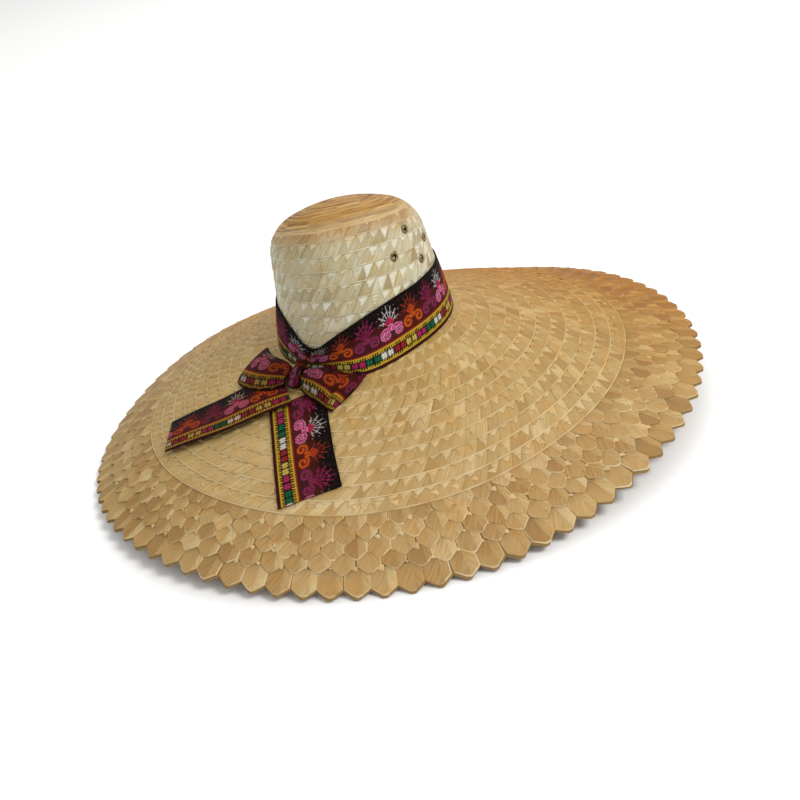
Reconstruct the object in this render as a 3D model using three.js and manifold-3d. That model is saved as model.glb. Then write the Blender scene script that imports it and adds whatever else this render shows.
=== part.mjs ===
// A wide-brim woven palm-straw hat with a scalloped border and an embroidered ribbon tied in a bow.
// Millimetres, +Z up. The origin is on the surface that the hat rests on, under the middle of its rim.
import * as THREE from 'three';
import { mergeVertices } from 'three/addons/utils/BufferGeometryUtils.js';
import Module from 'manifold-3d';

// Brim: a cone that falls from the foot of the crown to a toothed rim.
const STRAW_WALL = 2;
const RIM_TIP_RADIUS = 322;
const TOOTH_DEPTH = 7;
const TOOTH_COUNT = 84;
const TOOTH_TIP_WIDTH_SHARE = 0.16;
const BRIM_RISE = 93;
const SEAM_SHARE = 0.697;
const SEAM_CREASE = 2.5;
const RIM_FOOT_WIDTH = 1.5;
const GAP = 0.3;

// The rim's wave: height is amplitude * cos(waves * (azimuth - crest)) at the rim.
const RIM_WAVE = [
  { waves: 1, amplitude: 8.7, crest: 347 },
  { waves: 2, amplitude: 6.8, crest: 353 },
  { waves: 3, amplitude: 5.3, crest: 348.5 },
  { waves: 4, amplitude: 3.7, crest: 34.3 },
];

// Crown: slightly oval, narrower at the top, with a wide round shoulder and a low dome. It leans a little to -X,
// and its heights grow toward -Y by this share for each mm, so the crown is higher in front than at the back.
const CROWN_CENTRE = { x: -8.5, y: 4 };
const CROWN_SEMI_X = 87.5;
const CROWN_SEMI_Y = 93;
const CROWN_HEIGHT = 132;
const CROWN_FRONT_RISE = 0.0022;
const CROWN_SIDEWAYS = 0.026;
const CROWN_WALL_HEIGHT = 87;
const CROWN_TOP_SEMI_X = 77;
const SHOULDER_RADIUS = 44;
const SHOULDER_END_ANGLE = 71;

// Eyelets: one diamond of four on the side that is seen, and one across from it.
const EYELET_HOLE_RADIUS = 2.2;
const EYELET_BARREL_RADIUS = 3;
const EYELET_FLANGE_RADIUS = 4.4;
const EYELET_FLANGE_THICKNESS = 0.8;
const EYELET_INNER_GAP = 1;
const EYELET_DIAMOND = [
  { name: 'left', azimuth: -17.5, up: 76 },
  { name: 'right', azimuth: 21, up: 79 },
  { name: 'top', azimuth: -0.5, up: 94.5 },
  { name: 'bottom', azimuth: 7, up: 64 },
];
const EYELET_SIDES = [
  { name: 'front', azimuth: 317 },
  { name: 'back', azimuth: 137 },
];

// Ribbon: one 60 mm width all through. Stand is how far the band's lower edge stands out from the crown.
const RIBBON_THICKNESS = 1;
const BAND_CLEARANCE = 0.5;
const BAND_PATH = [
  { azimuth: 0, stand: 0.4, top: 52 },
  { azimuth: 30, stand: 0.6, top: 58 },
  { azimuth: 60, stand: 1, top: 66 },
  { azimuth: 90, stand: 1, top: 70 },
  { azimuth: 120, stand: 1, top: 67 },
  { azimuth: 150, stand: 1.5, top: 56 },
  { azimuth: 172, stand: 3, top: 42 },
  { azimuth: 190, stand: 5, top: 38.5 },
  { azimuth: 200, stand: 7, top: 34 },
  { azimuth: 208, stand: 8, top: 28 },
  { azimuth: 216, stand: 9, top: 20 },
  { azimuth: 222, stand: 9.5, top: 12.5 },
  { azimuth: 227, stand: 10, top: 7 },
  { azimuth: 235, stand: 10.5, top: 13 },
  { azimuth: 245, stand: 12, top: 21.5 },
  { azimuth: 255, stand: 15.5, top: 28 },
  { azimuth: 263, stand: 17, top: 32.5 },
  { azimuth: 270, stand: 13, top: 36.5 },
  { azimuth: 280, stand: 9, top: 40.8 },
  { azimuth: 295, stand: 3.5, top: 45.3 },
  { azimuth: 315, stand: 0.6, top: 48.8 },
  { azimuth: 335, stand: 0.4, top: 51.5 },
];

// Bow: the knot and the loops lie on the brim beside the band. Azimuths and radii are about the crown's axis;
// low and high are heights over the brim.
const KNOT = { azimuth: 229, radius: 119.5, alongHalf: 11, acrossHalf: 15, low: 3, high: 20 };
const LOOP_LEFT = [
  { inAzimuth: 223.4, outAzimuth: 223.4, inRadius: 110, outRadius: 131, low: 7, high: 17 },
  { inAzimuth: 217, outAzimuth: 218, inRadius: 107, outRadius: 138, low: 6.5, high: 20 },
  { inAzimuth: 207, outAzimuth: 210, inRadius: 106, outRadius: 143, low: 5, high: 20 },
  { inAzimuth: 195, outAzimuth: 202, inRadius: 105, outRadius: 145, low: 4.5, high: 18 },
  { inAzimuth: 185, outAzimuth: 195, inRadius: 105, outRadius: 145, low: 4, high: 14 },
  { inAzimuth: 181, outAzimuth: 192, inRadius: 105, outRadius: 144, low: 5, high: 9 },
];
const LOOP_RIGHT = [
  { inAzimuth: 234.6, outAzimuth: 234.6, inRadius: 110, outRadius: 131, low: 6, high: 16 },
  { inAzimuth: 242, outAzimuth: 240, inRadius: 109, outRadius: 139, low: 5, high: 19 },
  { inAzimuth: 250, outAzimuth: 245, inRadius: 111, outRadius: 145, low: 4.5, high: 19 },
  { inAzimuth: 257, outAzimuth: 249, inRadius: 112, outRadius: 149, low: 4, high: 17 },
  { inAzimuth: 262, outAzimuth: 252.5, inRadius: 113, outRadius: 151, low: 4, high: 13 },
  { inAzimuth: 264, outAzimuth: 254, inRadius: 114, outRadius: 151, low: 5, high: 9 },
];

// Tails: each row is a place across the ribbon, from its first edge to its second, with the lift of each edge.
const TAIL_LEFT = [
  { x1: -103, y1: -64, x2: -97, y2: -114, lift1: 1.5, lift2: 5 },
  { x1: -136, y1: -53, x2: -131, y2: -111, lift1: 1.2, lift2: 6.5 },
  { x1: -164, y1: -47, x2: -166, y2: -106, lift1: 1.2, lift2: 7 },
  { x1: -193, y1: -37, x2: -197, y2: -96, lift1: 1.2, lift2: 6.5 },
  { x1: -226.5, y1: -27, x2: -232, y2: -83, lift1: 1.2, lift2: 6 },
];
const TAIL_FRONT = [
  { x1: -120, y1: -104, x2: -64, y2: -107, lift1: 1, lift2: 1 },
  { x1: -122, y1: -142, x2: -65, y2: -142, lift1: 1, lift2: 1 },
  { x1: -124, y1: -180, x2: -66, y2: -180, lift1: 1, lift2: 1 },
  { x1: -125.5, y1: -218, x2: -65, y2: -216.5, lift1: 1, lift2: 1 },
];

// Segment counts of the faceted surfaces.
const CROWN_SEGMENTS = 60;
const SHOULDER_STEPS = 5;
const BAND_SEGMENTS = 60;
const LOOP_SIDES = 12;
const EYELET_SEGMENTS = 12;

const STRAW_CROWN = new THREE.MeshStandardMaterial({ color: 0xd8cba6, roughness: 0.62, metalness: 0 });
const STRAW_BRIM = new THREE.MeshStandardMaterial({ color: 0xd9b37a, roughness: 0.65, metalness: 0 });
const RIBBON = new THREE.MeshStandardMaterial({ color: 0x6a1f33, roughness: 0.75, metalness: 0 });
const BRASS = new THREE.MeshStandardMaterial({ color: 0x8a7440, roughness: 0.4, metalness: 0.9 });

const rad = THREE.MathUtils.degToRad;
const deg = THREE.MathUtils.radToDeg;
const lerp = THREE.MathUtils.lerp;

// Skins a closed solid through sections that have the same number of points. A ring joins its last section to its
// first; otherwise each end is closed by joining point i to its partner on the other side of the section.
function skin(sections, isRing) {
  const size = sections[0].length;
  const positions = sections.flat(2);
  const faces = [];
  const quad = (a, b, c, d) => faces.push(a, b, c, a, c, d);
  const spans = isRing ? sections.length : sections.length - 1;
  for (let i = 0; i < spans; i += 1) {
    const here = i * size;
    const next = ((i + 1) % sections.length) * size;
    for (let j = 0; j < size; j += 1) {
      const k = (j + 1) % size;
      quad(here + j, here + k, next + k, next + j);
    }
  }
  if (!isRing) {
    const last = (sections.length - 1) * size;
    for (let j = 0; j < size / 2 - 1; j += 1) {
      const partner = size - 1 - j;
      quad(j, partner, partner - 1, j + 1);
      quad(last + j, last + j + 1, last + partner - 1, last + partner);
    }
  }
  return closedGeometry(positions, faces);
}

// Six times the volume that the faces hold, negative when they point inwards.
function signedVolume(positions, faces) {
  const corner = (i) => new THREE.Vector3().fromArray(positions, 3 * faces[i]);
  let volume = 0;
  for (let i = 0; i < faces.length; i += 3) {
    volume += corner(i).dot(corner(i + 1).cross(corner(i + 2)));
  }
  return volume;
}

function closedGeometry(positions, faces) {
  const outward = signedVolume(positions, faces) > 0 ? faces : faces.toReversed();
  const geometry = new THREE.BufferGeometry();
  geometry.setAttribute('position', new THREE.Float32BufferAttribute(positions, 3));
  geometry.setIndex(outward);
  return geometry;
}

// Brim surface: share 0 is the oval at the foot of the crown, share 1 the circle through the teeth's tips.
const BRIM_REACH = RIM_TIP_RADIUS - CROWN_SEMI_X;
const WALL_RISE = STRAW_WALL / Math.cos(Math.atan(BRIM_RISE / BRIM_REACH));
const TOOTH_PITCH = 360 / TOOTH_COUNT;
const TOOTH_AZIMUTHS = Array.from({ length: TOOTH_COUNT }, (_, i) => i * TOOTH_PITCH);

function rimWave(azimuth) {
  return RIM_WAVE.reduce((sum, w) => sum + w.amplitude * Math.cos(rad(w.waves * (azimuth - w.crest))), 0);
}

const LOWEST_WAVE = Math.min(...TOOTH_AZIMUTHS.map(rimWave));

function brimPlace(azimuth, share) {
  const semiX = lerp(CROWN_SEMI_X, RIM_TIP_RADIUS, share);
  const semiY = lerp(CROWN_SEMI_Y, RIM_TIP_RADIUS, share);
  return {
    x: lerp(CROWN_CENTRE.x, 0, share) + semiX * Math.cos(rad(azimuth)),
    y: lerp(CROWN_CENTRE.y, 0, share) + semiY * Math.sin(rad(azimuth)),
  };
}

function brimUnderside(azimuth, share) {
  const crease = share < SEAM_SHARE ? share / SEAM_SHARE : (1 - share) / (1 - SEAM_SHARE);
  const cone = BRIM_RISE * (1 - share) + SEAM_CREASE * crease;
  return cone + rimWave(azimuth) * share ** 2 - LOWEST_WAVE;
}

// The brim's upper side over a point, found by halving the range of shares whose ovals may pass through it.
function brimTopUnder(x, y) {
  let [low, high, azimuth] = [0, 1, 0];
  for (let i = 0; i < 24; i += 1) {
    const share = (low + high) / 2;
    const dx = (x - lerp(CROWN_CENTRE.x, 0, share)) / lerp(CROWN_SEMI_X, RIM_TIP_RADIUS, share);
    const dy = (y - lerp(CROWN_CENTRE.y, 0, share)) / lerp(CROWN_SEMI_Y, RIM_TIP_RADIUS, share);
    azimuth = deg(Math.atan2(dy, dx));
    if (Math.hypot(dx, dy) > 1) low = share;
    else high = share;
  }
  return brimUnderside(azimuth, low) + WALL_RISE;
}

function brimPoint(azimuth, share, rise) {
  const { x, y } = brimPlace(azimuth, share);
  return [x, y, brimUnderside(azimuth, share) + rise];
}

function brimGeometry() {
  const shares = [-STRAW_WALL / BRIM_REACH, 0.2, 0.45, SEAM_SHARE];
  const sections = TOOTH_AZIMUTHS.map((azimuth) => [
    ...shares.map((share) => brimPoint(azimuth, share, WALL_RISE)),
    ...shares.toReversed().map((share) => brimPoint(azimuth, share, 0)),
  ]);
  return skin(sections, true);
}

// Each tooth has a valley and two tip columns. Its edge ends in a narrow level foot, which the hat rests on.
function borderGeometry() {
  const innerShare = SEAM_SHARE + GAP / BRIM_REACH;
  const valleyShare = 1 - TOOTH_DEPTH / BRIM_REACH;
  const columns = [
    { turn: -0.5, edge: valleyShare },
    { turn: -TOOTH_TIP_WIDTH_SHARE / 2, edge: 1 },
    { turn: TOOTH_TIP_WIDTH_SHARE / 2, edge: 1 },
  ];
  const sections = TOOTH_AZIMUTHS.flatMap((tooth) => columns.map(({ turn, edge }) => {
    const azimuth = tooth + turn * TOOTH_PITCH;
    const levelAzimuth = edge === 1 ? tooth : azimuth;
    const footShare = edge - RIM_FOOT_WIDTH / BRIM_REACH;
    const footLevel = brimUnderside(levelAzimuth, edge);
    const edgePlace = brimPlace(azimuth, edge);
    const footPlace = brimPlace(azimuth, footShare);
    return [
      brimPoint(azimuth, innerShare, WALL_RISE),
      [edgePlace.x, edgePlace.y, footLevel + WALL_RISE],
      [edgePlace.x, edgePlace.y, footLevel],
      [footPlace.x, footPlace.y, footLevel],
      brimPoint(azimuth, innerShare, 0),
    ];
  }));
  return skin(sections, true);
}

// Crown profile: up is measured from the crown's foot, and the lean is the wall's angle to the vertical.
const OVAL_RATIO = CROWN_SEMI_Y / CROWN_SEMI_X;
const CROWN_LEAN = deg(Math.atan((CROWN_SEMI_X - CROWN_TOP_SEMI_X) / CROWN_WALL_HEIGHT));
const SHOULDER_CENTRE = {
  radius: CROWN_TOP_SEMI_X - SHOULDER_RADIUS * Math.cos(rad(CROWN_LEAN)),
  up: CROWN_WALL_HEIGHT - SHOULDER_RADIUS * Math.sin(rad(CROWN_LEAN)),
};
const CROWN_FOOT = brimUnderside(0, -STRAW_WALL / BRIM_REACH) + WALL_RISE + GAP;

function crownProfile(inset) {
  const radius = SHOULDER_RADIUS - inset;
  const points = [new THREE.Vector2(CROWN_SEMI_X - inset, 0)];
  for (let i = 0; i <= SHOULDER_STEPS; i += 1) {
    const angle = rad(lerp(CROWN_LEAN, SHOULDER_END_ANGLE, i / SHOULDER_STEPS));
    points.push(new THREE.Vector2(
      SHOULDER_CENTRE.radius + radius * Math.cos(angle),
      SHOULDER_CENTRE.up + radius * Math.sin(angle),
    ));
  }
  const domeEdge = points.at(-1);
  const domeRise = CROWN_HEIGHT - inset - domeEdge.y;
  for (const share of [0.6, 0.3, 0]) {
    points.push(new THREE.Vector2(domeEdge.x * share, domeEdge.y + domeRise * (1 - share ** 2)));
  }
  return points;
}

// A height over the crown's foot, by how far it lies from the crown's middle toward +Y.
const crownHeight = (up, y) => up * (1 - CROWN_FRONT_RISE * y);

// The place on the crown's outside at a profile height, and the direction that the wall faces there.
function crownPlace(azimuth, up) {
  const onShoulder = up > CROWN_WALL_HEIGHT;
  const tilt = onShoulder ? Math.asin((up - SHOULDER_CENTRE.up) / SHOULDER_RADIUS) : rad(CROWN_LEAN);
  const radius = onShoulder
    ? SHOULDER_CENTRE.radius + SHOULDER_RADIUS * Math.cos(tilt)
    : lerp(CROWN_SEMI_X, CROWN_TOP_SEMI_X, up / CROWN_WALL_HEIGHT);
  const [c, s] = [Math.cos(rad(azimuth)), Math.sin(rad(azimuth))];
  const y = radius * OVAL_RATIO * s;
  const stretch = crownHeight(1, y);
  const facing = new THREE.Vector3(Math.cos(tilt) * c, (Math.cos(tilt) * s) / OVAL_RATIO, Math.sin(tilt));
  facing.z /= stretch;
  facing.y += CROWN_FRONT_RISE * up * facing.z;
  return {
    position: new THREE.Vector3(
      CROWN_CENTRE.x - CROWN_SIDEWAYS * up + radius * c,
      CROWN_CENTRE.y + y,
      CROWN_FOOT + crownHeight(up, y),
    ),
    facing: facing.normalize(),
  };
}

// A closed solid turned about +Z from a profile of (radius, height) points.
function turned(profile, segments) {
  const lathe = new THREE.LatheGeometry(profile, segments).rotateX(Math.PI / 2);
  lathe.deleteAttribute('normal');
  lathe.deleteAttribute('uv');
  const merged = mergeVertices(lathe, 1e-4);
  const faces = [];
  for (let i = 0; i < merged.index.count; i += 3) {
    const [a, b, c] = [0, 1, 2].map((k) => merged.index.getX(i + k));
    if (a !== b && b !== c && c !== a) faces.push(a, b, c);
  }
  return closedGeometry([...merged.attributes.position.array], faces);
}

const wasm = await Module();
wasm.setup();

function toSolid(geometry) {
  return new wasm.Manifold(new wasm.Mesh({
    numProp: 3,
    vertProperties: new Float32Array(geometry.attributes.position.array),
    triVerts: new Uint32Array(geometry.index.array),
  }));
}

const EYELETS = EYELET_SIDES.flatMap((side) => EYELET_DIAMOND.map((place) => ({
  name: `eyelet_${side.name}_${place.name}`,
  ...crownPlace(side.azimuth + place.azimuth, place.up),
})));
const UP = new THREE.Vector3(0, 0, 1);

function crownGeometry() {
  const profile = [...crownProfile(0).toReversed(), ...crownProfile(STRAW_WALL)];
  const shell = turned(profile, CROWN_SEGMENTS)
    .scale(1, OVAL_RATIO, 1)
    .applyMatrix4(new THREE.Matrix4().makeShear(0, 0, 0, 0, -CROWN_SIDEWAYS, 0));
  const places = shell.attributes.position;
  for (let i = 0; i < places.count; i += 1) {
    places.setZ(i, crownHeight(places.getZ(i), places.getY(i)));
  }
  shell.translate(CROWN_CENTRE.x, CROWN_CENTRE.y, CROWN_FOOT);
  let solid = toSolid(shell);
  for (const { position, facing } of EYELETS) {
    const drill = new THREE.CylinderGeometry(1, 1, 1, EYELET_SEGMENTS);
    drill.deleteAttribute('normal');
    drill.deleteAttribute('uv');
    const place = new THREE.Matrix4().compose(
      position,
      new THREE.Quaternion().setFromUnitVectors(UP, facing),
      new THREE.Vector3(EYELET_BARREL_RADIUS + GAP, EYELET_BARREL_RADIUS + GAP, 5 * STRAW_WALL),
    );
    const hole = mergeVertices(drill.rotateX(Math.PI / 2).applyMatrix4(place), 1e-4);
    solid = solid.subtract(toSolid(hole));
  }
  const cut = solid.getMesh();
  return closedGeometry([...cut.vertProperties], [...cut.triVerts]);
}

// A barrel with an outer flange and an inner one, each clear of the straw wall that it grips.
function eyeletGeometry() {
  const inside = -STRAW_WALL - EYELET_INNER_GAP;
  const points = [
    [EYELET_HOLE_RADIUS, inside - EYELET_FLANGE_THICKNESS],
    [EYELET_FLANGE_RADIUS, inside - EYELET_FLANGE_THICKNESS],
    [EYELET_FLANGE_RADIUS, inside],
    [EYELET_BARREL_RADIUS, inside],
    [EYELET_BARREL_RADIUS, GAP],
    [EYELET_FLANGE_RADIUS, GAP],
    [EYELET_HOLE_RADIUS, GAP + EYELET_FLANGE_THICKNESS],
    [EYELET_HOLE_RADIUS, inside - EYELET_FLANGE_THICKNESS],
  ];
  return turned(points.map(([r, z]) => new THREE.Vector2(r, z)), EYELET_SEGMENTS);
}

// A table's value at an azimuth, straight between its rows, which go once round.
function around(table, azimuth, column) {
  const turn = THREE.MathUtils.euclideanModulo(azimuth, 360);
  const next = table.findIndex((row) => row.azimuth > turn);
  const [a, b] = next === -1
    ? [table.at(-1), { ...table[0], azimuth: 360 }]
    : [table[next - 1], table[next]];
  return lerp(a[column], b[column], (turn - a.azimuth) / (b.azimuth - a.azimuth));
}

function bandGeometry() {
  const sections = Array.from({ length: BAND_SEGMENTS }, (_, i) => {
    const azimuth = (360 * i) / BAND_SEGMENTS;
    const stand = around(BAND_PATH, azimuth, 'stand');
    const top = around(BAND_PATH, azimuth, 'top');
    const column = (offset) => {
      const foot = crownPlace(azimuth, 0).position;
      const reach = 1 + (stand + offset) / CROWN_SEMI_X;
      const x = CROWN_CENTRE.x + (foot.x - CROWN_CENTRE.x) * reach;
      const y = CROWN_CENTRE.y + (foot.y - CROWN_CENTRE.y) * reach;
      const low = new THREE.Vector3(x, y, brimTopUnder(x, y) + BAND_CLEARANCE);
      const head = crownPlace(azimuth, top);
      const high = head.position.addScaledVector(head.facing, offset);
      return [low, low.clone().lerp(high, 0.5), high].map((p) => p.toArray());
    };
    return [...column(BAND_CLEARANCE + RIBBON_THICKNESS), ...column(BAND_CLEARANCE).toReversed()];
  });
  return skin(sections, true);
}

// The place at an azimuth and radius about the crown's axis, at a lift over the brim.
function overBrim(azimuth, radius, lift) {
  const x = CROWN_CENTRE.x + radius * Math.cos(rad(azimuth));
  const y = CROWN_CENTRE.y + radius * Math.sin(rad(azimuth));
  return [x, y, brimTopUnder(x, y) + lift];
}

function loopGeometry(table) {
  const sections = table.map((row) => Array.from({ length: LOOP_SIDES }, (_, j) => {
    const turn = rad((360 * (j + 0.5)) / LOOP_SIDES);
    const across = (1 + Math.cos(turn)) / 2;
    const up = (1 + Math.sin(turn)) / 2;
    return overBrim(
      lerp(row.inAzimuth, row.outAzimuth, across),
      lerp(row.inRadius, row.outRadius, across),
      lerp(row.low, row.high, up),
    );
  }));
  return skin(sections, false);
}

function tailGeometry(table) {
  const shares = [0, 1 / 3, 2 / 3, 1];
  const sections = table.map((row) => {
    const side = (thickness) => shares.map((share) => {
      const x = lerp(row.x1, row.x2, share);
      const y = lerp(row.y1, row.y2, share);
      return [x, y, brimTopUnder(x, y) + lerp(row.lift1, row.lift2, share) + thickness];
    });
    return [...side(RIBBON_THICKNESS), ...side(0).toReversed()];
  });
  return skin(sections, false);
}

const hat = new THREE.Group();

function place(name, geometry, material, parent = hat) {
  const mesh = new THREE.Mesh(geometry, material);
  mesh.name = name;
  parent.add(mesh);
  return mesh;
}

place('crown', crownGeometry(), STRAW_CROWN);
place('brim', brimGeometry(), STRAW_BRIM);
place('brim_border', borderGeometry(), STRAW_BRIM);
place('hatband', bandGeometry(), RIBBON);
place('bow_loop_left', loopGeometry(LOOP_LEFT), RIBBON);
place('bow_loop_right', loopGeometry(LOOP_RIGHT), RIBBON);
place('tail_left', tailGeometry(TAIL_LEFT), RIBBON);
place('tail_front', tailGeometry(TAIL_FRONT), RIBBON);

// The knot is an egg that leans with the brim's slope, set out along its own azimuth.
const knotArm = new THREE.Group();
knotArm.position.set(CROWN_CENTRE.x, CROWN_CENTRE.y, 0);
knotArm.rotation.z = rad(KNOT.azimuth);
hat.add(knotArm);
const knot = place('bow_knot', new THREE.SphereGeometry(1, 16, 10), RIBBON, knotArm);
knot.geometry.scale(KNOT.acrossHalf, KNOT.alongHalf, (KNOT.high - KNOT.low) / 2);
knot.rotation.y = Math.atan(BRIM_RISE / BRIM_REACH);
knot.position.set(KNOT.radius, 0, overBrim(KNOT.azimuth, KNOT.radius, (KNOT.high + KNOT.low) / 2)[2]);

for (const { name, position, facing } of EYELETS) {
  const eyelet = place(name, eyeletGeometry(), BRASS);
  eyelet.position.copy(position);
  eyelet.quaternion.setFromUnitVectors(UP, facing);
}

export default hat;
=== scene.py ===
# A wide-brim sun hat plaited from palm straw, with an embroidered ribbon tied in a flat bow.
# Lengths are worked out in millimetres and made into metres when a mesh is built. +Z is up.
import math

import bpy
import numpy as np
from mathutils import Matrix, Vector


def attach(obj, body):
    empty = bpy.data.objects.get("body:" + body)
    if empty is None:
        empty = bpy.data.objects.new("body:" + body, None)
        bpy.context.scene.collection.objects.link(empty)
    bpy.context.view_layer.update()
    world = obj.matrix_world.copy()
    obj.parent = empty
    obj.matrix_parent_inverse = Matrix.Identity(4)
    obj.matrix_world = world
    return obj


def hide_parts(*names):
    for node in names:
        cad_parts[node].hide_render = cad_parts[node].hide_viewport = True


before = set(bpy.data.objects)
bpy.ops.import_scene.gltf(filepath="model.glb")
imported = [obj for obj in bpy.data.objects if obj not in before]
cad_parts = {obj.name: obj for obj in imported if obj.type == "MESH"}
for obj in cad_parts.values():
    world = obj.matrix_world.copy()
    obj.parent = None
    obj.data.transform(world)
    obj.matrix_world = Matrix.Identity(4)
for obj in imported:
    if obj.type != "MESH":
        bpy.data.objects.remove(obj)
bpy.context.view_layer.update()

# Brim, inner part. Twelve rows of flat straw plait are sewn round the crown in a flat spiral, each one laid
# over the next, so every row ends in a thin raised edge. The straw lies over the plain wall of the solid.
MM = 0.001
STRAW_WALL = 2.0
RIM_TIP_RADIUS = 322.0
BRIM_RISE = 93.0
SEAM_SHARE = 0.697
SEAM_CREASE = 2.5
CROWN_X, CROWN_Y = -8.5, 4.0
CROWN_SEMI_X, CROWN_SEMI_Y = 87.5, 93.0
BRIM_REACH = RIM_TIP_RADIUS - CROWN_SEMI_X
WALL_RISE = STRAW_WALL / math.cos(math.atan(BRIM_RISE / BRIM_REACH))
TOOTH_COUNT = 84
# The rim's wave: how many waves go round, their height, and the azimuth of a crest.
RIM_WAVE = ((1, 8.7, 347.0), (2, 6.8, 353.0), (3, 5.3, 348.5), (4, 3.7, 34.3))
# Each sheet's fibres begin at a random place in a grain pattern this many millimetres long.
GRAIN_SHIFT = 900


def rim_wave(azimuth):
    return sum(height * np.cos(np.radians(waves * (azimuth - crest)))
               for waves, height, crest in RIM_WAVE)


LOWEST_WAVE = float(rim_wave(np.arange(TOOTH_COUNT) * 360 / TOOTH_COUNT).min())


def brim_surface(azimuth, share, lift):
    """Points on the brim. Share 0 is the crown's foot and 1 the rim, and lift is over the wall's top."""
    semi_x = CROWN_SEMI_X + share * BRIM_REACH
    semi_y = CROWN_SEMI_Y + share * (RIM_TIP_RADIUS - CROWN_SEMI_Y)
    c, s = np.cos(np.radians(azimuth)), np.sin(np.radians(azimuth))
    slope = math.atan(BRIM_RISE / BRIM_REACH)
    out = lift * math.sin(slope)
    x = CROWN_X * (1 - share) + (semi_x + out) * c
    y = CROWN_Y * (1 - share) + (semi_y + out) * s
    crease = np.where(share < SEAM_SHARE, share / SEAM_SHARE, (1 - share) / (1 - SEAM_SHARE))
    under = BRIM_RISE * (1 - share) + SEAM_CREASE * crease + rim_wave(azimuth) * share**2 - LOWEST_WAVE
    return np.stack([x, y, under + WALL_RISE + lift * math.cos(slope)], -1)


def brim_lining(azimuth, share, lift):
    """The same under the brim, where lift goes down from the wall's underside."""
    return brim_surface(azimuth, share, -lift - STRAW_WALL)


def along_row(*places):
    """Places across a sheet's columns, which run along the row that it belongs to."""
    return np.array(places)[None, None, :]


def across_row(*places):
    """Places across a sheet's rows."""
    return np.array(places)[None, :, None]


def dress(mesh, layer, places, material):
    """Gives a mesh its fibres' places, one for each point, with smooth faces and its material."""
    corner_point = np.zeros(len(mesh.loops), dtype=np.int32)
    mesh.loops.foreach_get("vertex_index", corner_point)
    corners = places[corner_point].astype(np.float32)
    mesh.uv_layers.new(name=layer).data.foreach_set("uv", corners.ravel())
    mesh.polygons.foreach_set("use_smooth", np.ones(len(mesh.polygons), dtype=bool))
    mesh.materials.append(material)


def in_scene(name, data):
    """A new object that shows data."""
    thing = bpy.data.objects.new(name, data)
    bpy.context.scene.collection.objects.link(thing)
    return thing


class StrawWork:
    """Gathers many small sheets of straw, each a grid of points, into one mesh."""

    def __init__(self):
        self.points, self.faces, self.grain, self.looks, self.count = [], [], [], [], 0

    def add(self, surface, around, across, lift, grain, tone, edge, gap, flip=False):
        """Arrays are (sheets, rows, columns), or 1 long where nothing changes. grain is two of them: the
        millimetres across the fibres and along them. edge is a painted highlight and gap a painted shade."""
        around, across, lift = np.broadcast_arrays(around, across, lift)
        sheets, rows, columns = around.shape
        self.points.append(surface(around, across, lift).reshape(-1, 3) * MM)
        for kept, values in ((self.grain, grain), (self.looks, (tone, edge, gap))):
            full = [np.broadcast_to(value, around.shape).reshape(-1) for value in values]
            kept.append(np.stack(full, -1))
        cell = np.arange(sheets * rows * columns).reshape(sheets, rows, columns) + self.count
        corners = [cell[:, :-1, :-1], cell[:, 1:, :-1], cell[:, 1:, 1:], cell[:, :-1, 1:]]
        if flip:
            corners.reverse()
        self.faces.append(np.stack(corners, -1).reshape(-1, 4))
        self.count += sheets * rows * columns

    def build(self, name, material, keep=None):
        """One mesh object, which rides on the hat and takes its grain and looks as attributes."""
        points, faces = np.concatenate(self.points), np.concatenate(self.faces)
        if keep is not None:
            faces = faces[keep(points[faces].mean(1))]
        mesh = bpy.data.meshes.new(name)
        mesh.from_pydata(points.tolist(), [], faces.tolist())
        dress(mesh, "grain", np.concatenate(self.grain), material)
        for index, look in enumerate(("tone", "edge", "gap")):
            values = np.concatenate(self.looks)[:, index].astype(np.float32)
            mesh.attributes.new(look, "FLOAT", "POINT").data.foreach_set("value", values)
        piece = in_scene(name, mesh)
        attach(piece, "root")
        return piece


class Shade:
    """A socket in a material, with arithmetic that adds Math nodes."""

    def __init__(self, tree, socket):
        self.tree, self.socket = tree, socket

    def math(self, operation, *values):
        node = self.tree.nodes.new("ShaderNodeMath")
        node.operation = operation
        for socket, value in zip(node.inputs, values):
            feed(self.tree, socket, value)
        return Shade(self.tree, node.outputs[0])

    def __add__(self, other):
        return self.math("ADD", self, other)

    def __radd__(self, other):
        return self.math("ADD", other, self)

    def __sub__(self, other):
        return self.math("SUBTRACT", self, other)

    def __rsub__(self, other):
        return self.math("SUBTRACT", other, self)

    def __mul__(self, other):
        return self.math("MULTIPLY", self, other)

    def __rmul__(self, other):
        return self.math("MULTIPLY", other, self)

    def __truediv__(self, other):
        return self.math("DIVIDE", self, other)

    def __rtruediv__(self, other):
        return self.math("DIVIDE", other, self)

    def sine(self):
        return self.math("SINE", self)

    def clamp(self):
        return make_node(self.tree, "ShaderNodeClamp", Value=self)

    def steps(self, low, high):
        """0 below low and 1 above high, smooth between them."""
        return make_node(self.tree, "ShaderNodeMapRange", {"interpolation_type": "SMOOTHSTEP"},
                         Value=self, From_Min=low, From_Max=high)

    def parts(self):
        """A vector's numbers."""
        split = make_node(self.tree, "ShaderNodeSeparateXYZ", Vector=self)
        return [Shade(self.tree, socket) for socket in split.socket.node.outputs]


def feed(tree, socket, value):
    if isinstance(value, Shade):
        tree.links.new(value.socket, socket)
    elif isinstance(value, (tuple, list)) and len(value) == 3 and len(socket.default_value) == 4:
        socket.default_value = (*value, 1.0)
    else:
        socket.default_value = value


def make_node(tree, kind, settings=None, output=0, **values):
    """A node of any kind: its settings, then the values or links of its sockets, and one output."""
    node = tree.nodes.new(kind)
    for name, value in (settings or {}).items():
        setattr(node, name, value)
    for name, value in values.items():
        feed(tree, node.inputs[name.replace("_", " ")], value)
    return Shade(tree, node.outputs[output])


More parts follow.
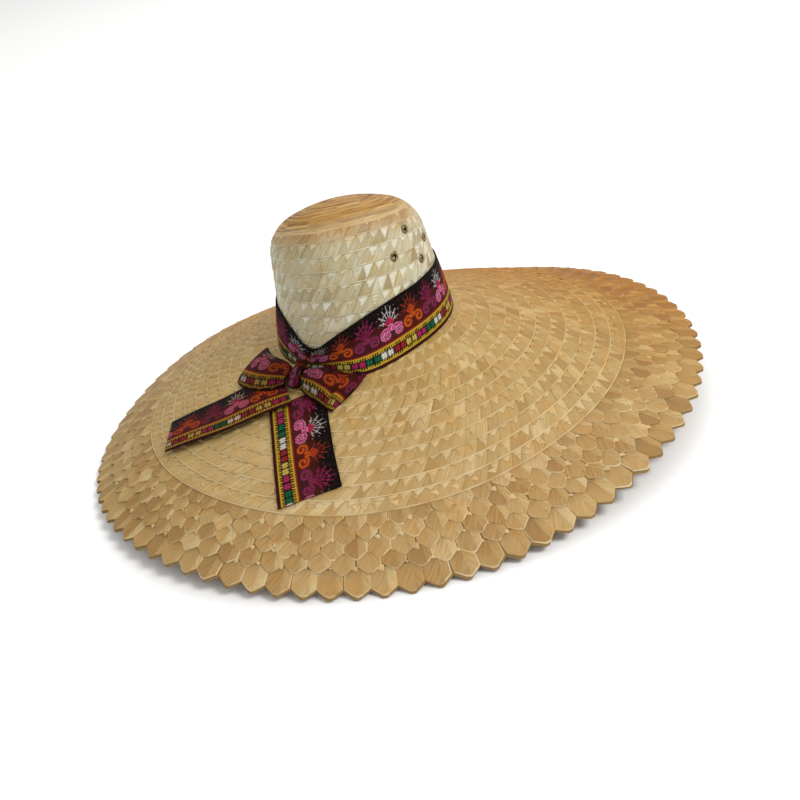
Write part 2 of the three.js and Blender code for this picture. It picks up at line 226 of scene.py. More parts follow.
def mix_colour(tree, share, first, second, blend="MIX"):
    settings = {"data_type": "RGBA", "blend_type": blend}
    mixed = make_node(tree, "ShaderNodeMix", settings, output=2, Factor=share)
    colours = [socket for socket in mixed.socket.node.inputs if socket.type == "RGBA"]
    feed(tree, colours[0], first)
    feed(tree, colours[1], second)
    return mixed


def tinted(tree, share, colour, tint):
    """A colour multiplied by a tint, by a share of it."""
    return mix_colour(tree, share, colour, tint, "MULTIPLY")


def new_material(name):
    material = bpy.data.materials.new(name)
    material.use_nodes = True
    shader = material.node_tree.nodes["Principled BSDF"]
    return material, material.node_tree, shader


def attribute(tree, name, output=2):
    """A mesh attribute: output 2 is a number, 0 a colour and 1 a vector."""
    return make_node(tree, "ShaderNodeAttribute", {"attribute_name": name}, output=output)


def straw_material(name, deep, middle, pale, edge_highlight_colour, roughness, fibres=1.2, streaks=0.8,
                   far_tint=(0.85, 0.53, 0.10), golden_above=None, shine=0.13):
    """Dried palm strip: long fine fibres, a soft shine, and a tone that differs from strip to strip. The
    straw takes a painted shade in the gaps between strips and a painted highlight along raised edges. It
    is tinted more orange toward the hat's far side, partly its own colour and partly painted shade, painted
    paler on the near side as sheen and greyer on its left as shade. It can turn golden over a range of
    heights up the crown, partly the golden straw of the tip and partly painted shade on the shoulder."""
    material, tree, shader = new_material(name)
    grain = make_node(tree, "ShaderNodeUVMap", {"uv_map": "grain"})
    across_fibres = make_node(tree, "ShaderNodeMapping", Vector=grain, Scale=(1.05, 0.05, 1.0))
    broad_fibres = make_node(tree, "ShaderNodeMapping", Vector=grain, Scale=(0.55, 0.035, 1.0))
    fine = make_node(tree, "ShaderNodeTexNoise", Vector=across_fibres, Scale=1.0, Detail=3.0, Roughness=0.6)
    broad = make_node(tree, "ShaderNodeTexNoise", Vector=broad_fibres, Scale=1.0, Detail=2.0)
    place = make_node(tree, "ShaderNodeTexCoord", output=3)
    patch = make_node(tree, "ShaderNodeTexNoise", Vector=place, Scale=22.0, Detail=2.0)
    x, y, z = place.parts()
    patches = (patch - 0.5) * 0.35
    tone = attribute(tree, "tone") + (fine - 0.5) * fibres + (broad - 0.5) * streaks + patches
    colour = mix_colour(tree, tone.steps(-0.05, 0.5), deep, middle)
    colour = mix_colour(tree, tone.steps(0.5, 1.05), colour, pale)
    # Painted shade: the gap attribute darkens the straw toward a shadow colour in the gaps between strips.
    shadow = tuple(0.45 * value for value in deep)
    colour = mix_colour(tree, (attribute(tree, "gap") * 0.8).clamp(), colour, shadow)
    # Painted highlight: the edge attribute lightens the straw along raised edges.
    colour = mix_colour(tree, (attribute(tree, "edge") * 0.6).clamp(), colour, edge_highlight_colour)
    speckle = make_node(tree, "ShaderNodeTexNoise", Vector=place, Scale=75.0, Detail=3.0)
    colour = tinted(tree, speckle.steps(0.46, 0.66) * 0.75, colour, (1.03, 0.92, 0.76))
    # Painted light by side: far side orange partly as shade, near side paler as sheen, left greyer as shade.
    far, left, near = y * 0.8 + x * 0.45, x * -0.9 + y * 0.1, y * -1.0
    colour = tinted(tree, far.steps(-0.04, 0.26), colour, far_tint)
    colour = tinted(tree, left.steps(0.0, 0.3), colour, (0.90, 0.93, 0.92))
    colour = tinted(tree, near.steps(0.08, 0.25), colour, (1.03, 1.05, 1.18))
    # The golden tint up the crown is partly the tip's golden straw and partly painted shade on the shoulder.
    if golden_above:
        foot, rise, low, high = golden_above
        up = (z - foot) / (1 - (y - CROWN_Y * MM) * (rise / MM))
        ragged = up + (broad - 0.5) * 0.012
        colour = tinted(tree, ragged.steps(low, high), colour, (0.83, 0.535, 0.285))
    feed(tree, shader.inputs["Base Color"], colour)
    feed(tree, shader.inputs["Roughness"], fine * 0.25 + (roughness - 0.12))
    bump = make_node(tree, "ShaderNodeBump", Height=fine + broad * 0.6, Distance=0.0003, Strength=0.5)
    feed(tree, shader.inputs["Normal"], bump)
    shader.inputs["Specular IOR Level"].default_value = shine
    return material


STRAW_DEEP = (0.316, 0.195, 0.066)
STRAW_GOLD = (0.395, 0.262, 0.096)
STRAW_PALE = (0.51, 0.378, 0.18)
STRAW_EDGE_HIGHLIGHT = (0.60, 0.48, 0.265)
brim_straw = straw_material("golden_straw", STRAW_DEEP, STRAW_GOLD, STRAW_PALE, STRAW_EDGE_HIGHLIGHT, 0.5)

BRIM_ROWS = 12
ROW_SHARE = 0.0597
ROW_FOOT_RADIUS = 91
STRIP_PITCH = 12.5
STRIP_LENGTH = 14.0
STRIP_LEAN = 0.85
STRIP_CONTRAST = 0.2
CORNER_LEAN = 0.3
CORNER_APEX = 0.3
ROW_EDGE_LIFT = 1.15


def smooth_noise(azimuth, seed, terms=5, slowest=2):
    """A gentle wander round the hat that comes back to where it started, between about -1 and 1."""
    rng = np.random.default_rng(seed)
    total = np.zeros_like(azimuth, dtype=float)
    for wave in range(slowest, slowest + terms):
        total = total + rng.normal() * np.cos(np.radians(wave * azimuth + rng.uniform(0, 360)))
    return total / math.sqrt(terms)


# Where the columns of a strip lie and how high, with its first and last ones turned down into the wall.
SIDE_PLACES = np.array([-0.03, 0.03, 0.3, 0.7, 0.96, 1.03])
SIDE_LIFT = np.array([0.25, 0.62, 0.9, 1.0, 1.0, 0.3])


def pressed(azimuth, middle, half_width, most):
    """The share by which plait was pressed smooth at an azimuth, which is most about a middle one."""
    turn = (azimuth - middle + 180) % 360 - 180
    return most * np.exp(-((turn / half_width) ** 4))


def plait_row(work, surface, start, width, radius, seed, light_share, pitch=STRIP_PITCH, warm=None,
              flip=False, calm=None, corner_sheen=0.22, contrast=STRIP_CONTRAST):
    """One row of plait. It runs across from start over width (in the surface's own measure), and its
    last edge lies on top. Leaning strips fill it, and corners of the crossing strips show at its start,
    painted lighter as sheen. calm is the middle azimuth, half width and greatest share of a place pressed
    smooth."""
    def warmth(turns):
        return 0.0 if warm is None else warm(turns.mean((1, 2), keepdims=True))
    rng = np.random.default_rng(seed)
    count = max(12, round(2 * math.pi * radius / pitch))
    each = (count, 1, 1)
    cell = 360.0 / count
    turn = rng.uniform(0, cell)
    first = np.arange(count)[:, None, None]
    side = along_row(*SIDE_PLACES)
    along = across_row(0.0, 0.1, 0.4, 0.75, 0.97, 1.03)
    jitter = rng.normal(0, 0.035, each)
    around = turn + cell * (first + jitter + side - STRIP_LEAN * along)
    rise = 0.15 + (ROW_EDGE_LIFT - 0.15) * along
    lift = rise * SIDE_LIFT * np.where(along > 1, 0.2, 1.0)
    grain = (side * pitch + rng.uniform(0, GRAIN_SHIFT, each),
             STRIP_LENGTH * along + rng.uniform(0, GRAIN_SHIFT, each))
    rough = 1.0 if calm is None else 1 - pressed(around.mean((1, 2), keepdims=True), *calm)
    tone = 0.42 + contrast * rough * rng.normal(0, 1, each) + warmth(around)
    # Painted shade at the strip's first side, under its neighbour, and at the start, under the row above.
    gap_shade_strength = rng.uniform(0.1, 1.6, each) * rough
    gap = (np.clip(0.02 - side, 0, 1) * 12 + np.clip(0.16 - along, 0, 1) * 2.0) * gap_shade_strength
    work.add(surface, around, start + width * along, lift, grain, tone, 0.0,
             np.clip(gap, 0, 1) * 0.55, flip)
    # The crossing strips' corners, triangles whose broad side is at the row's start. They are painted
    # lighter as sheen, with painted shade at their turned-down edges.
    size = np.clip(light_share + rng.normal(0, 0.2, each), 0.12, 1.0) * (0.45 + 0.55 * rough)
    broad = along_row(0.06, 0.12, 0.5, 0.88, 0.94)
    deep = across_row(0.02, 0.12, 0.6, 0.94, 1.0)
    narrowing = 1 - deep * 0.96
    spread = CORNER_APEX + (broad - CORNER_APEX) * narrowing
    around = turn + cell * (first + jitter + spread - STRIP_LEAN * CORNER_LEAN * deep * size)
    edge_down = np.where((broad < 0.1) | (broad > 0.9) | (deep > 0.98), 0.3, 1.0)
    lift = (0.35 + 0.9 * size * deep * ROW_EDGE_LIFT + 0.35) * edge_down
    grain = (deep * STRIP_LENGTH * size + rng.uniform(0, GRAIN_SHIFT, each),
             broad * pitch + rng.uniform(0, GRAIN_SHIFT, each))
    tone = 0.55 + corner_sheen * rough + 0.2 * rough * rng.normal(0, 1, each) + warmth(around)
    work.add(surface, around, start + width * size * deep, lift, grain, tone, 0.0,
             np.where(edge_down < 1, 0.15, 0.0), flip)


def row_edge(work, surface, start, width, seed, strength, flip=False):
    """The thin raised edge that the strips make where they fold back along a row's last edge. It has a
    painted highlight along it and a painted shadow just beyond it.
    """
    rng = np.random.default_rng(seed)
    azimuth = np.linspace(0, 360, 601)
    wander = 0.25 * smooth_noise(azimuth, seed, 6, 5)
    places = along_row(-1.3, -0.5, 0.15, 0.45)
    around = azimuth[None, :, None]
    across = start + (places + wander[None, :, None]) * width
    # Painted highlight, broken up along the row.
    light = strength * (0.6 + 0.4 * smooth_noise(azimuth, seed + 1, 40, 20))[None, :, None]
    edge = np.clip(light, 0.0, 1.0) * along_row(0.1, 1.0, 1.0, 0.0)
    tone = 0.6 + 0.15 * rng.normal()
    work.add(surface, around, across, along_row(0.6, 1.4, 1.25, 0.0), (places, around * 3.0), tone, edge,
             along_row(0, 0, 0, 0.5), not flip)


def brim_rows(work, surface, seed, light_share, edge_seed=None, **looks):
    """The brim's rows from the seam inwards, with their raised edges where those have a seed."""
    for row in range(BRIM_ROWS):
        outer = SEAM_SHARE - row * ROW_SHARE
        middle_radius = ROW_FOOT_RADIUS + (outer - ROW_SHARE / 2) * BRIM_REACH
        plait_row(work, surface, outer - ROW_SHARE, ROW_SHARE, middle_radius, seed + row, light_share,
                  **looks)
        if edge_seed is not None:
            row_edge(work, surface, outer, 1 / BRIM_REACH, edge_seed + row, 0.9)


def brim_warmth(azimuth):
    """The straw is painted a little darker at the far side, as shade, and paler beside the bow's end."""
    return -0.16 * np.cos(np.radians(azimuth - 70)) + 0.1 * np.cos(np.radians(2 * (azimuth - 200)))


# The brim's plait was pressed almost smooth on the left, from the seam to the bow.
BRIM_PRESSED = (205, 38, 0.8)
brim_plait = StrawWork()
brim_rows(brim_plait, brim_surface, 100, 0.5, edge_seed=200, warm=brim_warmth, calm=BRIM_PRESSED)
brim_top = brim_plait.build("brim_plait", brim_straw)

# Brim border. Five rings of folded palm points are laid over one another like scales, each ring half a point
# round from the next, and the outermost one makes the toothed rim. Each point is folded out of one strip.
BORDER_TIPS = (1.0, 0.926, 0.87, 0.817, 0.762)
TOOTH_DEPTH = 7.0
TOOTH_FLAT = 0.16
POINT_LENGTH = 24.0
POINT_LIFT = 1.25
FOLD_PLACE = 0.3
FOLD_SLANT = 34.0


def border_points(work, surface, tip, offset, seed, flip=False):
    """One ring of points. Each has a broad facet and a narrow one painted lighter as sheen, meeting at a
    fold.
    """
    rng = np.random.default_rng(seed)
    each = (TOOTH_COUNT, 1, 1)
    cell = 360.0 / TOOTH_COUNT
    middle = (np.arange(TOOTH_COUNT)[:, None, None] + offset) * cell
    wobble = rng.normal(0, 0.07, each)
    fold = FOLD_PLACE + rng.normal(0, 0.14, each)
    short = 0 if tip == BORDER_TIPS[0] else np.abs(rng.normal(0, 1.5, each)) / BRIM_REACH
    width = cell * math.radians(1) * (CROWN_SEMI_X + tip * BRIM_REACH)
    start = max(tip - POINT_LENGTH / BRIM_REACH, SEAM_SHARE - 0.01)
    along = across_row(0.0, 0.35, 0.7, 0.93, 0.97, 1.0)
    tone_all = 0.34 + 0.17 * rng.normal(0, 1, each)
    # Each facet: its columns' places, rise and painted edge highlight, its fibres' slant, and how much
    # lighter it is painted, as sheen.
    facets = (
        ((-1.0, -0.95, -0.88, -0.5, -0.16, 0.16, FOLD_PLACE), (0.35, 0.95, 1.0, 1.0, 1.0, 1.0, 0.95),
         (0.7, 0.7, 0, 0, 0, 0, 0.1), FOLD_SLANT, 0.0),
        ((FOLD_PLACE, 0.36, 0.62, 0.88, 0.95, 1.0), (1.05, 1.35, 1.25, 1.15, 1.1, 0.35),
         (0.6, 0.0, 0.0, 0.0, 1.0, 1.0), -FOLD_SLANT, 0.26),
    )
    for columns, rise, edge, slant, lighter in facets:
        columns = along_row(*columns)
        places = columns + (fold - FOLD_PLACE) * (1 - np.abs(columns))
        notch = np.clip((np.abs(places) - TOOTH_FLAT) / (1 - TOOTH_FLAT), 0, 1) * TOOTH_DEPTH / BRIM_REACH
        around = middle + 0.5 * cell * (places * 0.985 + wobble * along)
        across = start + (tip - short - notch - start) * along
        lift = (0.2 + POINT_LIFT * along**1.3) * along_row(*rise) * np.where(along > 0.99, 0.4, 1.0)
        x = 0.5 * width * places
        y = (across - start) * BRIM_REACH
        turn = math.radians(slant)
        shift = rng.uniform(0, GRAIN_SHIFT, each)
        grain = (x * math.cos(turn) + y * math.sin(turn) + shift,
                 y * math.cos(turn) - x * math.sin(turn) + shift)
        tone = tone_all + lighter + 0.12 * rng.normal(0, 1, each)
        # Painted highlight along the facet's light edges and its outer end.
        light = np.maximum(along_row(*edge), np.where(along > 0.95, 1.0, 0.0))
        strength = np.clip(0.5 + 0.5 * rng.normal(0, 1, each), 0.0, 1.3)
        # Painted shade toward the point's inner end, under the ring above, and at its turned-down tip.
        deep = np.clip(0.5 - along, 0, 1) * 0.7 + np.where(along > 0.99, 0.45, 0.0)
        work.add(surface, around, across, lift, grain, tone, light * strength, deep, flip)


def fold_glints(work, surface, inner_tip, offset, seed):
    """Small corners of strip that show where two points of the ring above part, painted pale as glints."""
    rng = np.random.default_rng(seed)
    each = (TOOTH_COUNT, 1, 1)
    cell = 360.0 / TOOTH_COUNT
    middle = (np.arange(TOOTH_COUNT)[:, None, None] + offset) * cell
    size = np.clip(rng.normal(0.55, 0.35, each), 0.1, 1.1)
    broad = along_row(-1.0, -0.8, 0.0, 0.8, 1.0)
    deep = across_row(0.0, 0.25, 0.8, 1.0)
    around = middle + cell * size * (0.24 * broad * (1 - 0.75 * deep) - 0.16 * (1 - deep))
    across = inner_tip - TOOTH_DEPTH / BRIM_REACH + (4.8 * deep * size - 1.5) / BRIM_REACH
    down = np.where((np.abs(broad) > 0.9) | (deep > 0.9), 0.45, 1.0)
    shift = rng.uniform(0, GRAIN_SHIFT, each)
    tone = 0.85 + 0.2 * rng.normal(0, 1, each)
    work.add(surface, around, across, (1.15 + 0.25 * deep) * down, (broad * 3 + shift, deep * 8 + shift),
             tone, 0.25, 0.0)


border = StrawWork()
for ring, tip in enumerate(BORDER_TIPS):
    border_points(border, brim_surface, tip, 0.5 * (ring % 2), 300 + ring)
    inner = (BORDER_TIPS + (SEAM_SHARE,))[ring + 1]
    fold_glints(border, brim_surface, inner, 0.5 * (ring % 2), 320 + ring)
border_straw = straw_material("border_straw", (0.275, 0.154, 0.047), (0.37, 0.23, 0.079),
                              (0.49, 0.35, 0.155), (0.62, 0.49, 0.26), 0.5, fibres=1.0)
border_top = border.build("border_points", border_straw)

# Brim's underside. The plait and the points are worked through, so the same rows and rings show
# underneath, with no cloth lining over them.
UNDER_TIP_SHORTER = 0.004
under_plait = StrawWork()
brim_rows(under_plait, brim_lining, 400, 0.45, flip=True)
under_brim = under_plait.build("brim_underside", brim_straw)
under_points = StrawWork()
for ring, tip in enumerate(BORDER_TIPS):
    under_tip = tip - UNDER_TIP_SHORTER if ring == 0 else tip
    border_points(under_points, brim_lining, under_tip, 0.5 * (ring % 2), 420 + ring, flip=True)
under_border = under_points.build("border_underside", border_straw)

# Crown. Ivory plait goes round the wall in rows that lap downwards, and the round tip is wound of thin golden
# strands. It is pushed a little to one side, and its tip stands higher at the front.
CROWN_HEIGHT = 132.0
CROWN_WALL_HEIGHT = 87.0
CROWN_TOP_SEMI_X = 77.0
SHOULDER_RADIUS = 44.0
SHOULDER_END = math.radians(71)
CROWN_SIDEWAYS = 0.026
CROWN_FRONT_RISE = 0.0022
CROWN_GAP = 0.3
OVAL = CROWN_SEMI_Y / CROWN_SEMI_X
CROWN_LEAN = math.atan((CROWN_SEMI_X - CROWN_TOP_SEMI_X) / CROWN_WALL_HEIGHT)
WALL_LENGTH = math.hypot(CROWN_WALL_HEIGHT, CROWN_SEMI_X - CROWN_TOP_SEMI_X)
SHOULDER_X = CROWN_TOP_SEMI_X - SHOULDER_RADIUS * math.cos(CROWN_LEAN)
SHOULDER_UP = CROWN_WALL_HEIGHT - SHOULDER_RADIUS * math.sin(CROWN_LEAN)
DOME_EDGE = SHOULDER_X + SHOULDER_RADIUS * math.cos(SHOULDER_END)
DOME_FOOT = SHOULDER_UP + SHOULDER_RADIUS * math.sin(SHOULDER_END)
CROWN_FOOT = float(brim_surface(np.array(0.0), np.array(-STRAW_WALL / BRIM_REACH), 0.0)[2]) + CROWN_GAP
SHOULDER_CLIMB = WALL_LENGTH + SHOULDER_RADIUS * (SHOULDER_END - CROWN_LEAN)
DOME_RISE = CROWN_HEIGHT - DOME_FOOT


def crown_profile(climb):
    """The crown's outline at a length up from its foot: radius, height and the angle that it faces up by."""
    wall = np.clip(climb, 0, WALL_LENGTH) / WALL_LENGTH
    turned = CROWN_LEAN + np.maximum(climb - WALL_LENGTH, 0) / SHOULDER_RADIUS
    on_wall, on_dome = climb <= WALL_LENGTH, climb > SHOULDER_CLIMB
    radius = np.where(on_wall, CROWN_SEMI_X + (CROWN_TOP_SEMI_X - CROWN_SEMI_X) * wall,
                      SHOULDER_X + SHOULDER_RADIUS * np.cos(turned))
    radius = np.where(on_dome, DOME_EDGE - (climb - SHOULDER_CLIMB), radius)
    up = np.where(on_wall, CROWN_WALL_HEIGHT * wall, SHOULDER_UP + SHOULDER_RADIUS * np.sin(turned))
    up = np.where(on_dome, DOME_FOOT + DOME_RISE * (1 - (radius / DOME_EDGE) ** 2), up)
    facing = np.where(on_wall, CROWN_LEAN, turned)
    facing = np.where(on_dome, np.arctan2(1.0, 2 * DOME_RISE * radius / DOME_EDGE**2), facing)
    return radius, up, facing


def crown_point(x, y, up):
    """A point from its plan place about the crown's axis and its height before the crown is set askew."""
    return np.stack([CROWN_X - CROWN_SIDEWAYS * up + x, CROWN_Y + y,
                     CROWN_FOOT + up * (1 - CROWN_FRONT_RISE * y)], -1)


def crown_surface(azimuth, climb, lift):
    radius, up, facing = crown_profile(climb)
    radius, up = radius + lift * np.cos(facing), up + lift * np.sin(facing)
    turn = np.radians(azimuth)
    return crown_point(radius * np.cos(turn), radius * OVAL * np.sin(turn), up)


def crown_lining(azimuth, climb, lift):
    return crown_surface(azimuth, climb, -lift - STRAW_WALL)


CROWN_ROW = 12.8
CROWN_ROWS = 9
CROWN_PLAIT_TOP = 115.8
TIP_COIL_START = 112.0
TIP_COIL_END = SHOULDER_CLIMB + DOME_EDGE - 0.3
TIP_STRIP = 2.7
STRAND_STEPS = 7
# The crown's plait is smoother over the bow.
CROWN_PRESSED = (228, 32, 0.35)


def crown_rows(work, surface, seed, flip):
    """Rows from the shoulder down. Their lifts are low, so the ribbon lies close on them."""
    def low_surface(azimuth, climb, lift):
        return surface(azimuth, np.maximum(climb, 0), 0.6 * lift)
    for row in range(CROWN_ROWS):
        start = CROWN_PLAIT_TOP - row * CROWN_ROW
        radius = float(crown_profile(np.array(max(start - CROWN_ROW / 2, 0)))[0])
        plait_row(work, low_surface, start, -CROWN_ROW, radius, seed + row, 0.6, pitch=12.0, flip=flip,
                  corner_sheen=0.26, calm=CROWN_PRESSED)
        if start > CROWN_ROW:
            row_edge(work, low_surface, start - CROWN_ROW, -0.8, seed + 20 + row, 0.15, flip=flip)


def tip_coil(work, surface, seed, flip):
    """Thin strands wound round and round over the crown's top, each pressed against the one before."""
    rng = np.random.default_rng(seed)
    turns = round((TIP_COIL_END - TIP_COIL_START) / TIP_STRIP)
    pitch = (TIP_COIL_END - TIP_COIL_START) / turns
    azimuth = np.linspace(0, 360, 85)
    around = azimuth[None, :, None]
    for turn in range(turns):
        climb = np.minimum(TIP_COIL_START + pitch * (turn + SIDE_PLACES), TIP_COIL_END)
        wander = 0.25 * smooth_noise(azimuth, seed + turn, 8, 3)
        wander *= np.clip((TIP_COIL_END - climb[-1]) / pitch, 0, 1)
        radius = float(crown_profile(climb.mean())[0])
        run = np.radians(around) * radius + rng.uniform(0, GRAIN_SHIFT)
        grain = (SIDE_PLACES * pitch + rng.uniform(0, GRAIN_SHIFT), run)
        # The first turns are painted paler with the edge highlight, fading out by the fifth turn.
        pale = max(0.0, 1.0 - 0.22 * turn)
        strands = rng.normal(0, 0.25, len(azimuth) // STRAND_STEPS)
        tone = 0.46 + strands[np.arange(len(azimuth)) // STRAND_STEPS % len(strands)]
        # Painted shade in the narrow gaps at the strands' turned-down sides, less on the first turns.
        gap = np.where(SIDE_LIFT < 0.5, rng.uniform(0.3, 1.2), 0.0)
        work.add(surface, around, climb + wander[None, :, None], 0.1 + 0.5 * SIDE_LIFT, grain,
                 tone[None, :, None], pale, (1 - pale) * gap, flip)


# Eyelets let air in. Each set of four makes a flat diamond. Places are azimuth and height over the foot.
EYELET_DIAMOND = ((-17.5, 76.0), (21.0, 79.0), (-0.5, 94.5), (7.0, 64.0))
EYELET_SIDES = (317.0, 137.0)
EYELET_CLEAR = 3.5


def eyelet_place(azimuth, up):
    """The middle of an eyelet on the crown's outside, and the way it faces."""
    climb = WALL_LENGTH * up / CROWN_WALL_HEIGHT
    if up > CROWN_WALL_HEIGHT:
        turned = math.asin((up - SHOULDER_UP) / SHOULDER_RADIUS) - CROWN_LEAN
        climb = WALL_LENGTH + SHOULDER_RADIUS * turned
    base = crown_surface(np.array(azimuth), np.array(climb), 0.0)
    round_it = crown_surface(np.array(azimuth + 0.1), np.array(climb), 0.0) - base
    up_it = crown_surface(np.array(azimuth), np.array(climb + 0.1), 0.0) - base
    out = np.cross(round_it, up_it)
    return base, out / np.linalg.norm(out)


EYELETS = [eyelet_place(side + turn, up) for side in EYELET_SIDES for turn, up in EYELET_DIAMOND]


def clear_of_eyelets(places):
    """Which faces lie away from every eyelet's hole."""
    keep = np.ones(len(places), dtype=bool)
    for middle, facing in EYELETS:
        offset = places / MM - middle
        along = offset @ facing
        from_axis = np.linalg.norm(offset - along[:, None] * facing, axis=1)
        keep &= (from_axis > EYELET_CLEAR) | (np.abs(along) > 6 * EYELET_CLEAR)
    return keep


GOLDEN_HEIGHTS = (0.091, 0.115)
crown_straw = straw_material("ivory_straw", (0.30, 0.235, 0.115), (0.435, 0.385, 0.242),
                             (0.60, 0.60, 0.49), (0.56, 0.54, 0.41), 0.42, fibres=1.3, streaks=1.25,
                             golden_above=(CROWN_FOOT * MM, CROWN_FRONT_RISE, *GOLDEN_HEIGHTS), shine=0.3)
tip_straw = straw_material("tip_straw", (0.17, 0.068, 0.015), (0.36, 0.196, 0.052), (0.49, 0.31, 0.10),
                           (0.50, 0.41, 0.25), 0.5, fibres=2.2, streaks=1.1)
crown_plait = StrawWork()
crown_rows(crown_plait, crown_surface, 500, flip=False)
crown_sides = crown_plait.build("crown_plait", crown_straw, clear_of_eyelets)
tip_straws = StrawWork()
tip_coil(tip_straws, crown_surface, 540, flip=True)
crown_top = tip_straws.build("crown_tip", tip_straw)
inside_plait = StrawWork()
crown_rows(inside_plait, crown_lining, 560, flip=True)
tip_coil(inside_plait, crown_lining, 590, flip=False)
crown_inside = inside_plait.build("crown_inside", crown_straw, clear_of_eyelets)

# Plain wall. The woven straw's thickness is one plain wall under the strips, and it shows only in the
# narrow gaps between them, in a darker straw that paints the shade there.
shell_straw = straw_material("straw_shadow", (0.24, 0.15, 0.055), (0.30, 0.20, 0.08), (0.36, 0.25, 0.12),
                             (0.4, 0.28, 0.14), 0.7)
for node in ("crown", "brim", "brim_border"):
    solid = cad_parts[node]
    solid.data.materials.clear()
    solid.data.materials.append(shell_straw)

# Ribbon. One 60 mm woven ribbon makes the band, the bow and the tails. Its ground is black to dark red.
# Scrolls with rays are worked along one side, and the other side has a bar of coloured blocks between
# toothed lines.
RIBBON_WIDTH = 60.0
RIBBON_THICKNESS = 0.8
MOTIF_PITCH = 27.0
BLOCK_PITCH = 14.0


def thread(code):
    """A thread's colour, from a screen colour in hexadecimal."""
    screen = np.array([int(code[i:i + 2], 16) / 255 for i in (0, 2, 4)])
    return np.where(screen <= 0.04045, screen / 12.92, ((screen + 0.055) / 1.055) ** 2.4)


# Each motif's threads: its rays, square, scroll, the scroll's outline, and the ground round the scrolls.
MOTIFS = (
    (thread("a8a2a0"), thread("b02c50"), thread("b83c74"), thread("d08aa8"), thread("481a1e")),
    (thread("7c2818"), thread("b04018"), thread("bc5416"), thread("963616"), thread("4a1610")),
    (thread("84204c"), thread("741a40"), thread("84204a"), thread("5e2c3c"), thread("3a161a")),
)
BLOCKS = (thread("0e5a3a"), thread("ccc8bc"), thread("8c2028"), thread("bca850"), thread("9c2656"))
BLACK = thread("0c0706")
MAROON = thread("42110e")
SELVEDGE = thread("34100e")
TOOTHED_LINE = thread("b6962a")
RED_LINE = thread("8a2a1c")


def to_line(x, y, points):
    """The distance from each place to a line through points."""
    nearest = np.full(x.shape, np.inf)
    for (ax, ay), (bx, by) in zip(points[:-1], points[1:]):
        dx, dy = bx - ax, by - ay
        share = np.clip(((x - ax) * dx + (y - ay) * dy) / max(dx * dx + dy * dy, 1e-9), 0, 1)
        nearest = np.minimum(nearest, np.hypot(x - ax - share * dx, y - ay - share * dy))
    return nearest


SCROLL_TURN = np.radians(np.linspace(150, -300, 26))
SCROLL_RADIUS = np.linspace(6.0, 1.5, 26)
SCROLL = [(1.2, 36.5)] + list(zip(6.9 + SCROLL_RADIUS * np.cos(SCROLL_TURN),
                                  29.3 + SCROLL_RADIUS * np.sin(SCROLL_TURN)))
RAY_ANGLES = (-76, -46, -20, 0, 20, 46, 76)
RAY_REACH = (11.0, 14.0, 15.0, 17.0, 15.0, 14.0, 11.0)
SQUARE_HEIGHT = 40.0
DOTS = ((3.5, 56.5), (9.5, 54), (12.6, 48), (12.8, 41), (12.8, 34))
SCROLL_GROUND = (6.8, 29.5)
BLOCK_MIDDLE = 11.2
BLOCK_HALF = 3.1
BAR_EDGES = (7.2, 15.3)
# Each toothed line: its edges across the ribbon, and its teeth's.
TOOTHED_LINES = ((3.4, 7.2, 4.7, 7.2), (15.3, 19.8, 15.3, 18.4))
TOOTH_PITCH = 2.4
SELVEDGE_WIDTH = 3.4
RED_LINE_EDGES = (19.8, 21.4)


